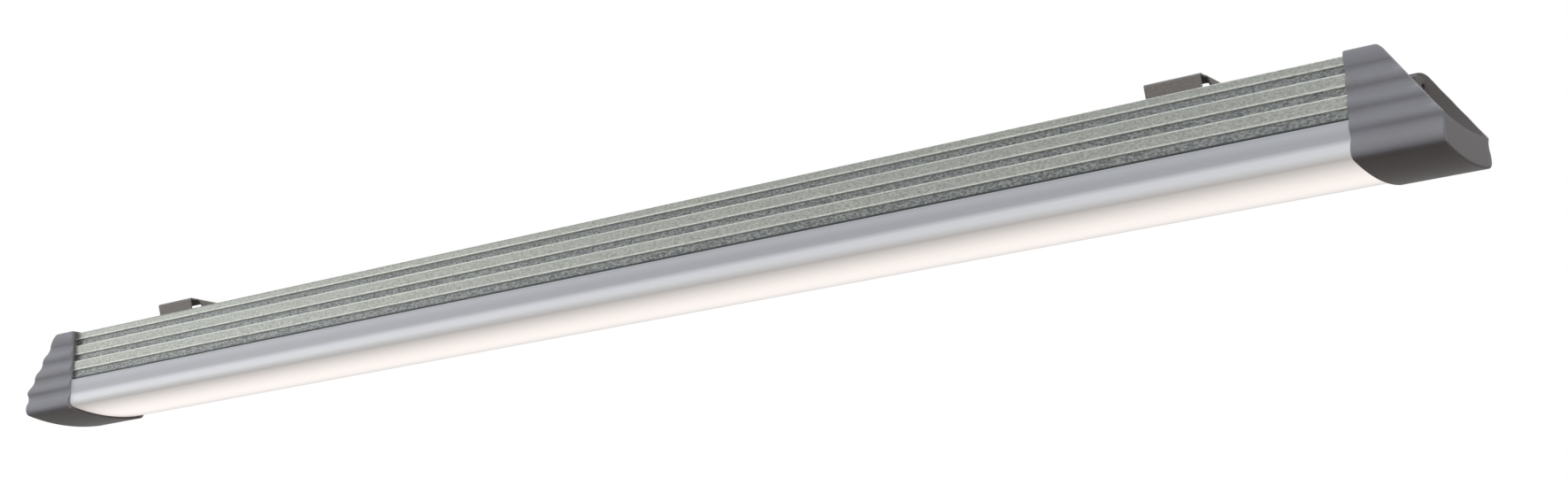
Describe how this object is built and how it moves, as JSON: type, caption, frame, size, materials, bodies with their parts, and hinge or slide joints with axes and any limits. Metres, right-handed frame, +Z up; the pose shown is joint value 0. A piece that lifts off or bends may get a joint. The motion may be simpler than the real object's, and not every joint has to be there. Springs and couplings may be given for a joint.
{
  "type": "led ceiling light",
  "caption": "Linear LED ceiling light with a ribbed aluminium body, an opal diffuser, grey moulded end caps with open cable recesses and steel ceiling clips.",
  "frame": {"origin": "middle of the ceiling plane, between the two ceiling clips, on the light's centre line", "axes": "+Z up out of the ceiling plane, +X along the light's length towards the cap with the cable gland, +Y across its width"},
  "size_m": [1.265, 0.0826, 0.0812],
  "materials": {
    "housing_aluminium": "matt anodised extrusion",
    "opal_diffuser": "opal extrusion, satin skin",
    "cap_plastic": "grey moulding, fine satin texture",
    "clip_steel": "sheet steel, zinc coated, dull",
    "seal_rubber": "moulded, matt",
    "screw_steel": "zinc plated",
    "gland_plastic": "moulded polyamide, dark grey",
    "board_white": "white solder mask",
    "package_white": "moulded LED packages",
    "white_plastic": "moulded",
    "driver_plastic": "moulded case",
    "driver_steel": "zinc-coated sheet",
    "lead_insulation": "extruded insulation"
  },
  "bodies": {
    "root": {"housing": "housing_aluminium", "diffuser": "opal_diffuser", "end_cap_left": "cap_plastic", "end_cap_right": "cap_plastic", "ceiling_clip_left": "clip_steel", "ceiling_clip_right": "clip_steel", "diffuser_seal_front": "seal_rubber", "diffuser_seal_back": "seal_rubber", "cap_gasket_left": "seal_rubber", "cap_gasket_right": "seal_rubber", "gland_seal": "seal_rubber", "blanking_plug_seal": "seal_rubber", "lead_grommet": "seal_rubber", "cap_screws_left": "screw_steel", "cap_screws_right": "screw_steel", "board_screws": "screw_steel", "terminal_screws": "screw_steel", "terminal_fixing_screws": "screw_steel", "earth_screw": "screw_steel", "earth_washer": "screw_steel", "gland_body": "gland_plastic", "gland_dome_nut": "gland_plastic", "gland_locknut": "gland_plastic", "blanking_plug": "gland_plastic", "blanking_locknut": "gland_plastic", "led_board_left": "board_white", "led_board_right": "board_white", "led_packages": "package_white", "board_connector": "white_plastic", "terminal_block": "white_plastic", "driver_base": "driver_steel", "driver_case": "driver_plastic", "mains_leads": "lead_insulation", "led_leads": "lead_insulation"}
  },
  "joints": []
}
